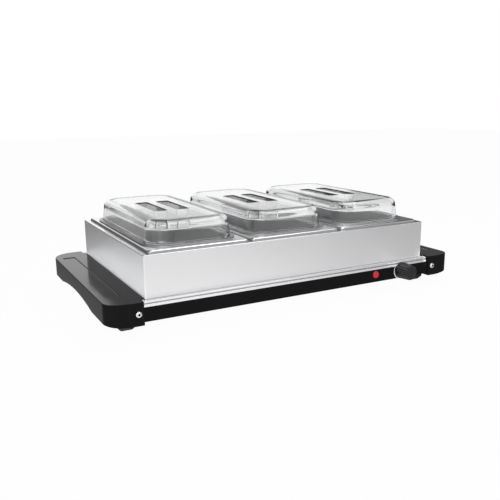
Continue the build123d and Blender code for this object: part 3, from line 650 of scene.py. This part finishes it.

# the walls are brushed up to ring 10; the surrounds are darker steel, painted shade, up to ring 15,
# polished above
wall_last, step_last = 10, 15
box_skin = Skin()
box_skin.add_rows(box_rows[:wall_last + 1])
box_skin.add_rows(box_hem)
box_skin.add_rows(box_inside)
box_skin.tone = 1
box_skin.add_rows(box_rows[wall_last:])
outer_feet, inner_feet = [], []
for place in pan_places.values():
    rows = round_rectangle_rows(surround_half_x, surround_half_y, surround_corner, surround_edge,
                                centre_x=place)
    under = round_rectangle_rows(surround_half_x, surround_half_y, surround_corner,
                                 surround_inside, centre_x=place)
    box_skin.tone = 2
    box_skin.add_rows(rows[:step_last + 1])
    box_skin.tone = 1
    box_skin.add_rows(rows[step_last:])
    box_skin.add_rows(under, flip=True)
    opening = round_rectangle_rows(opening_half_x, opening_half_y, opening_corner, opening_edge,
                                   centre_x=place)
    box_skin.add_rows(opening)
    box_skin.add_panel([rows[-1], opening[0]])
    box_skin.add_panel([under[-1], opening[-1]], flip=True)
    outer_feet.append(rows[0])
    inner_feet.append(under[0])
box_skin.add_panel([box_rows[-1], *outer_feet])
box_skin.add_panel([box_inside[0], *inner_feet], flip=True)
box_skin.build("buffet_frame_sheet", [sheet_steel, edge_steel, shaded_steel], "frame",
               ["buffet_frame"])

# ---- Food pans ------------------------------------------------------------------------------
# Three deep-drawn pans hang by their flanges in the surrounds.  Drawing leaves a large radius
# at the bottom, soft drafted walls and a satin skin; its colour is kept darker than the brushed
# frame's as painted shade under the lids.
# painted shade: the pans' stainless is a darker copy of the frame's
pan_steel = steel_finish("drawn_stainless", (0.38, 0.38, 0.39), (0.50, 0.50, 0.51),
                         line_width=0.004, line_length=0.04, gloss=0.34, change=0.03,
                         depth=0.0000001)
mouth_half_x, mouth_half_y, mouth_corner = 0.069, 0.1465, 0.035
pan_draft = math.tan(math.radians(5.0))
pan_wall = 0.001
flange_reach, flange_deep = 0.011, 0.0018
pan_floor_ring = 0.018
wall_ease = 0.0001
for side, place in pan_places.items():
    pan_low, pan_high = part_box("pan_" + side)
    bottom, brim = pan_low.z, pan_high.z
    under_brim = brim - flange_deep
    deep = brim - bottom
    outside_foot = pan_wall - pan_draft * deep
    inside_foot = -pan_draft * (deep - pan_wall)
    pan_edge = bent_profile(
        [(-pan_floor_ring, bottom), (outside_foot, bottom), (pan_wall - wall_ease, under_brim),
         (flange_reach, under_brim), (flange_reach, brim), (0.0, brim),
         (inside_foot, bottom + pan_wall), (-pan_floor_ring, bottom + pan_wall)],
        [0.009, 0.0004, 0.0005, 0.0007, 0.0022, 0.008], steps=8, guard=0.0002)
    pan_rows = round_rectangle_rows(mouth_half_x, mouth_half_y, mouth_corner, pan_edge,
                                    centre_x=place, steps=12)
    pan = Skin()
    pan.add_rows(pan_rows)
    pan.add_panel([pan_rows[0]], flip=True)
    pan.add_panel([pan_rows[-1]])
    pan.build("pan_drawn_" + side, [pan_steel], "food_pan_" + side, ["pan_" + side])

# ---- Lids -----------------------------------------------------------------------------------
# Clear moulded lids with drafted sides, a round shoulder and a flat top.  Two long pockets sink
# into the top and leave a bar between them to grip.  Clear, hard and polished.
clear_colour = (0.975, 0.98, 0.98)


def clear_finish(name, grain, gloss, change):
    """Clear polymer with its own gloss; returns the material, its tree and surface."""
    material, tree, surface = new_finish(name, clear_colour)
    surface.inputs["Transmission Weight"].default_value = 1.0
    surface.inputs["IOR"].default_value = 1.58
    grains = place_group(tree, mottle, grain_size=grain, gloss=gloss, gloss_change=change)
    wire(tree, grains.outputs["Roughness"], surface.inputs["Roughness"])
    return material, tree, surface


clear = clear_finish("clear_polymer", grain=0.004, gloss=0.012, change=0.01)[0]

# painted shade in the pockets: to the camera their clear polymer is painted dark, darkest in their
# front half; light that comes through stays clear
pocket_shade_front, pocket_shade_rear = -0.012, -0.002
pocket_shade, pocket_shade_tree, pocket_shade_surface = clear_finish(
    "clear_polymer_painted_shade", grain=0.002, gloss=0.08, change=0.03)
pocket_shade_place = add_node(pocket_shade_tree, "ShaderNodeTexCoord")
pocket_shade_apart = add_node(pocket_shade_tree, "ShaderNodeSeparateXYZ")
pocket_shade_path = add_node(pocket_shade_tree, "ShaderNodeLightPath")
wire(pocket_shade_tree, pocket_shade_place.outputs["Object"], pocket_shade_apart.inputs["Vector"])
pocket_shade_share = add_range(pocket_shade_tree, pocket_shade_apart.outputs["Y"], pocket_shade_front, pocket_shade_rear, 0.0, 1.0)
pocket_shade_tones = add_blend(pocket_shade_tree, pocket_shade_share, (0.02, 0.02, 0.02), (0.14, 0.14, 0.145))
pocket_shade_seen = add_blend(pocket_shade_tree, pocket_shade_path.outputs["Is Camera Ray"], clear_colour, pocket_shade_tones)
wire(pocket_shade_tree, pocket_shade_seen, pocket_shade_surface.inputs["Base Color"])

lid_wall = 0.0025
lid_draft = math.tan(math.radians(6.5))
lid_shoulder, lid_inner_shoulder = 0.013, 0.018
lid_ring, lid_inner_ring = 0.022, 0.020
lid_reach = 0.004
spigot_outer, spigot_inner, seat_rise = -0.0006, -0.0031, 0.002
pocket_half_x, pocket_half_y, pocket_corner = 0.0105, 0.052, 0.004
pocket_deep = 0.015
pocket_draft = math.tan(math.radians(9.0))
pocket_wall = 0.002
pocket_ring = 0.005
pocket_shift = 0.0195
for side, place in pan_places.items():
    lid_low, lid_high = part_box("lid_" + side)
    seat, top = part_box("pan_" + side)[1].z, lid_high.z
    rise = top - seat
    outer_top = lid_reach - lid_draft * rise
    inner_reach = lid_reach - lid_wall
    inner_top = inner_reach - lid_draft * (rise - lid_wall)
    outer_edge = bent_profile(
        [(spigot_inner, lid_low.z), (spigot_outer, lid_low.z), (spigot_outer, seat),
         (lid_reach, seat), (outer_top, top), (outer_top - lid_ring, top)],
        [0.0004, 0.0003, 0.0004, lid_shoulder], steps=12, guard=0.0003)
    inner_edge = bent_profile(
        [(inner_top - lid_inner_ring, top - lid_wall), (inner_top, top - lid_wall),
         (inner_reach, seat + seat_rise), (spigot_inner, seat + seat_rise),
         (spigot_inner, lid_low.z)],
        [lid_inner_shoulder, 0.0006, 0.0004], steps=14, guard=0.0003)
    outer_rows = round_rectangle_rows(mouth_half_x, mouth_half_y, mouth_corner, outer_edge,
                                      centre_x=place, steps=14)
    inner_rows = round_rectangle_rows(mouth_half_x, mouth_half_y, mouth_corner, inner_edge,
                                      centre_x=place, steps=14)
    lid = Skin()
    lid.add_rows(outer_rows)
    lid.add_rows(inner_rows)
    pocket_floor = top - pocket_deep
    floor_inset = -pocket_draft * pocket_deep
    pocket_edge = bent_profile(
        [(pocket_wall, top), (0.0, top), (floor_inset, pocket_floor),
         (floor_inset - pocket_ring, pocket_floor)], [0.0008, 0.003], steps=6, guard=0.0002)
    sleeve_edge = bent_profile(
        [(pocket_wall, top - lid_wall), (floor_inset + pocket_wall, pocket_floor - pocket_wall),
         (floor_inset - pocket_ring, pocket_floor - pocket_wall)],
        [0.0045], steps=6, guard=0.0002)
    pocket_mouths, sleeve_mouths = [], []
    for shift in (-pocket_shift, pocket_shift):
        pocket = round_rectangle_rows(pocket_half_x, pocket_half_y, pocket_corner, pocket_edge,
                                      centre_x=place + shift, steps=8)
        sleeve = round_rectangle_rows(pocket_half_x, pocket_half_y, pocket_corner, sleeve_edge,
                                      centre_x=place + shift, steps=8)
        lid.tone = 1
        lid.add_rows(pocket)
        lid.add_panel([pocket[-1]])
        lid.tone = 0
        lid.add_rows(sleeve, flip=True)
        lid.add_panel([sleeve[-1]], flip=True)
        pocket_mouths.append(pocket[0])
        sleeve_mouths.append(sleeve[0])
    lid.add_panel([outer_rows[-1], *pocket_mouths])
    lid.add_panel([inner_rows[0], *sleeve_mouths], flip=True)
    lid.build("lid_moulded_" + side, [clear, pocket_shade], "cover_" + side, ["lid_" + side])

# ---- Control knob ---------------------------------------------------------------------------
# A black moulded knob on the thermostat's shaft: a plain skirt, eighteen finger flutes, a
# smooth dished face and a low pointer, which points straight up when the heat is off.
knob_black = moulded_finish("knob_plastic", (0.014, 0.014, 0.014), (0.022, 0.022, 0.023),
                            grain=0.0005, gloss=0.26, change=0.05, depth=0.000008, shine=0.35)
# painted reflection: the knob shows pale in polished metal
painted_pale_reflection(knob_black, 1.2)


def turned_rows(profile, count, flutes=0, bite=0.0, start=0.0, end=0.0):
    """A profile of radius and height turned about the third axis.

    With flutes the radius loses bite * ((1 + cos(flutes * angle)) / 2) ** 2, faded in and out
    over 1.5 mm at the start and end heights.
    """
    profile = np.asarray(profile, float)
    angle = np.arange(count) * 2 * math.pi / count
    reach = np.repeat(profile[:, :1], count, axis=1)
    if flutes:
        height = profile[:, 1:]
        soft = 0.0015
        fade = np.clip((height - start) / soft, 0, 1) * np.clip((end - height) / soft, 0, 1)
        reach = reach - bite * fade * ((1 + np.cos(flutes * angle)) / 2) ** 2
    height = np.broadcast_to(profile[:, 1:], reach.shape)
    return np.stack([reach * np.cos(angle), reach * np.sin(angle), height], axis=-1)


def towards_front(rows, x, y, z, back=False):
    """Stands rows up so that their third axis runs out of the front, or of the back, at a point."""
    turn = -1.0 if back else 1.0
    return np.stack([x + turn * rows[..., 0], y - turn * rows[..., 2], z + rows[..., 1]], axis=-1)


knob_back = knob_high.y
knob_long = knob_high.y - knob_low.y
skirt_reach, skirt_long = 0.0154, 0.0014
body_back_reach, body_front_reach, body_start = 0.0150, 0.0132, 0.0030
face_reach, dish_reach, dish_floor = 0.0112, 0.0107, knob_long - 0.0006
knob_profile = bent_profile(
    [(0.0, 0.0), (skirt_reach, 0.0), (skirt_reach, skirt_long), (body_back_reach, body_start),
     (body_front_reach, knob_long), (face_reach, knob_long), (dish_reach, dish_floor),
     (0.0, dish_floor)],
    [0.0004, 0.0005, 0.0005, 0.0012, 0.0003, 0.0004], steps=6, guard=0.00012)

# more rings on the long flank, where the flutes fade in and out
dense = np.linspace(0.0, 1.0, 15)[1:-1, None]
long_leg = int(np.argmax(np.diff(knob_profile[:, 1])))
knob_profile = np.vstack([knob_profile[:long_leg + 1],
                          knob_profile[long_leg] * (1 - dense) + knob_profile[long_leg + 1] * dense,
                          knob_profile[long_leg + 1:]])
knob_flutes, flute_bite = 18, 0.0010
flute_start, flute_end = 0.0034, knob_long - 0.0016
knob_rows = turned_rows(knob_profile, 12 * knob_flutes, flutes=knob_flutes, bite=flute_bite,
                        start=flute_start, end=flute_end)

pointer_half_x, pointer_half_y, pointer_corner, pointer_rise = 0.0007, 0.0024, 0.0006, 0.0006
pointer_off_centre, pointer_base = 0.0078, knob_long - 0.0007
pointer_edge = bent_profile([(0.0, 0.0), (0.0, pointer_rise), (-0.0005, pointer_rise)],
                            [0.0002], steps=4, guard=0.00005)
pointer_rows = round_rectangle_rows(pointer_half_x, pointer_half_y, pointer_corner, pointer_edge,
                                    steps=4, guard=0.0001)
pointer_rows = pointer_rows + np.array([0.0, pointer_off_centre, pointer_base])
pointer_rows = towards_front(pointer_rows, knob_x, knob_back, knob_z)
knob = Skin()
knob.add_rows(towards_front(knob_rows, knob_x, knob_back, knob_z))
knob.build("knob_moulding", [knob_black], "knob", ["control_knob"])
pointer = Skin()
pointer.add_rows(pointer_rows)
pointer.add_cap(pointer_rows[-1])
pointer.build("knob_pointer", [knob_black], "knob")

# ---- Indicator lamp -------------------------------------------------------------------------
# A clear red lens snapped over the lamp: a round collar on the panel and a low dome, lit a
# little from behind.
red_lens, red_tree, red_surface = new_finish("red_lens", (0.58, 0.003, 0.008), roughness=0.2)
red_surface.inputs["Coat Weight"].default_value = 0.15
red_surface.inputs["Emission Color"].default_value = (1.0, 0.01, 0.02, 1.0)
red_surface.inputs["Emission Strength"].default_value = 0.14
red_grains = place_group(red_tree, mottle, grain_size=0.0008, gloss=0.12, gloss_change=0.05)
lay_relief(red_tree, red_surface, red_grains, depth=0.00003)
lens_low, lens_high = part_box("indicator_lens")
lens_x, lens_z = (lens_low.x + lens_high.x) / 2, (lens_low.z + lens_high.z) / 2
lens_reach = (lens_high.x - lens_low.x) / 2
lens_out = lens_high.y - lens_low.y
collar = 0.0016
foot_bevel, foot_bevel_rise = 0.0001, 0.0002
dome_step, dome_step_rise = 0.0004, 0.0003
dome_reach = lens_reach - dome_step
arc = np.linspace(0.0, math.pi / 2, 14)
lens_profile = np.vstack([
    [(0.0, 0.0), (lens_reach - foot_bevel, 0.0), (lens_reach, foot_bevel_rise),
     (lens_reach, collar - dome_step_rise)],
    np.stack([dome_reach * np.cos(arc), collar + (lens_out - collar) * np.sin(arc)], axis=-1)])
lens = Skin()
lens.add_rows(towards_front(turned_rows(lens_profile, 64), lens_x, lens_high.y, lens_z))
lens.build("lamp_lens", [red_lens], "base", ["indicator_lens"])

# ---- Handles --------------------------------------------------------------------------------
# Two hollow mouldings in black heat-proof plastic, screwed to brackets on the ends of the base.
# Their grain is fine and pebbled; they shine mostly on top, where a long recess takes the thumbs,
# and the sides' shine is turned down as painted shade.
handle_black = moulded_finish("handle_plastic", (0.014, 0.014, 0.015), (0.022, 0.022, 0.023),
                              grain=0.0007, gloss=0.14, change=0.03, depth=0.000003)
# painted reflection: the handles show pale in the polished box wall
painted_pale_reflection(handle_black, 1.8)

# painted shade: faces that look up shine more than the sides, whose reflection is turned down to
# stand in for the shaded table beside them; a normal's height tells them apart
painted_shade_side_shine, top_shine = 0.01, 0.5
side_height, top_height = 0.3, 0.9
handle_tree = handle_black.node_tree
handle_surface = handle_tree.nodes["Principled BSDF"]
handle_place = add_node(handle_tree, "ShaderNodeTexCoord")
handle_apart = add_node(handle_tree, "ShaderNodeSeparateXYZ")
wire(handle_tree, handle_place.outputs["Normal"], handle_apart.inputs["Vector"])
handle_shine = add_range(handle_tree, handle_apart.outputs["Z"], side_height, top_height,
                         painted_shade_side_shine, top_shine)
wire(handle_tree, handle_shine, handle_surface.inputs["Specular IOR Level"])
for side in ("right", "left"):
    dress("handle_" + side, handle_black)

# ---- Handle screws --------------------------------------------------------------------------
# Button-head socket screws, nickel plated and bright, one in each end of each handle.
plated = moulded_finish("nickel_plate", (0.74, 0.73, 0.71), (0.84, 0.83, 0.81),
                        grain=0.0004, gloss=0.18, change=0.06, depth=0.000002, metallic=1.0)
socket_dark = moulded_finish("socket_shadow", (0.004, 0.004, 0.004), (0.009, 0.009, 0.009),
                             grain=0.0004, gloss=0.60, change=0.06, depth=0.000002, shine=0.1)
screw_low, screw_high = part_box("handle_screws")
cad_head_reach, cad_head_rise = 0.00475, 0.0026
head_reach, head_rise, head_side, crown_reach = 0.0044, 0.0024, 0.0009, 0.0029
shank_reach, shank_long = 0.0024, 0.012
socket_reach, socket_deep, socket_point, point_share = 0.0021, 0.0015, 0.0006, 0.1
screw_steps = 48
screw_level = (screw_low.z + screw_high.z) / 2
screw_seat = screw_high.y - cad_head_rise
screw_profile = bent_profile(
    [(0.0, -shank_long), (shank_reach, -shank_long), (shank_reach, 0.0), (head_reach, 0.0),
     (head_reach, head_side), (crown_reach, head_rise), (socket_reach, head_rise)],
    [0.0002, 0.0002, 0.0002, 0.0004, 0.0007], steps=5, guard=0.00006)
# a hexagon's edge lies at cos(30 degrees) / cos(angle from the middle of its nearest side)
bend = np.arange(screw_steps) * 2 * math.pi / screw_steps
hexagon = math.cos(math.pi / 6) / np.cos(np.mod(bend, math.pi / 3) - math.pi / 6)
screws = Skin()
for screw_x in (screw_low.x + cad_head_reach, screw_high.x - cad_head_reach):
    for back in (False, True):
        rows = turned_rows(screw_profile, screw_steps)
        rows[-1, :, 0] = socket_reach * hexagon * np.cos(bend)
        rows[-1, :, 1] = socket_reach * hexagon * np.sin(bend)
        well = np.stack([rows[-1], rows[-1] - [0.0, 0.0, socket_deep],
                         rows[-1] * [point_share, point_share, 1.0]
                         - [0.0, 0.0, socket_deep + socket_point]])
        place = (screw_x, screw_seat if back else -screw_seat, screw_level)
        screws.tone = 0
        screws.add_rows(towards_front(rows, *place, back=back))
        screws.tone = 1
        screws.add_rows(towards_front(well, *place, back=back))
screws.build("socket_screws", [plated, socket_dark], "base", ["handle_screws"])

# ---- Feet and small screws ------------------------------------------------------------------
# Black rubber blocks, tapered towards the table, and zinc-plated screws under them and the cover.
foot_rubber = moulded_finish("foot_rubber", (0.010, 0.010, 0.010), (0.020, 0.020, 0.020),
                             grain=0.0008, gloss=0.72, change=0.08, depth=0.00006)
zinc = moulded_finish("zinc_plate", (0.48, 0.48, 0.50), (0.62, 0.62, 0.63),
                      grain=0.0009, gloss=0.36, change=0.10, depth=0.000004, metallic=1.0)
dress("feet", foot_rubber)
for name in ("foot_screws", "bottom_screws", "bracket_screws", "indicator_nut", "thermostat_shaft",
             "bracket_right", "bracket_left", "reflector_posts", "element_clips", "thermal_fuse"):
    dress(name, zinc)

# ---- Underside and heater -------------------------------------------------------------------
# A galvanised cover with cooling slots closes the base.  Inside are the sheathed element, a
# bright reflector, the thermostat and the terminal block.
spangle = moulded_finish("galvanised_sheet", (0.34, 0.35, 0.36), (0.56, 0.57, 0.58),
                         grain=0.012, gloss=0.42, change=0.10, depth=0.000004, metallic=1.0)
sheath = moulded_finish("heated_sheath", (0.16, 0.13, 0.11), (0.34, 0.30, 0.27),
                        grain=0.003, gloss=0.45, change=0.12, depth=0.00002, metallic=1.0)
bright_foil = moulded_finish("bright_aluminium", (0.78, 0.78, 0.79), (0.88, 0.88, 0.88),
                             grain=0.004, gloss=0.22, change=0.08, depth=0.00001, metallic=1.0)
brown_resin = moulded_finish("brown_resin", (0.020, 0.014, 0.010), (0.035, 0.025, 0.018),
                             grain=0.001, gloss=0.38, change=0.08, depth=0.00002)
pale_nylon = moulded_finish("pale_nylon", (0.62, 0.60, 0.54), (0.74, 0.72, 0.66),
                            grain=0.001, gloss=0.46, change=0.08, depth=0.00002)
for name, material in (("bottom_cover", spangle), ("heating_element", sheath),
                       ("heat_reflector", bright_foil), ("thermostat_body", brown_resin),
                       ("strain_relief", handle_black), ("terminal_block", pale_nylon),
                       ("indicator_holder", pale_nylon)):
    dress(name, material)
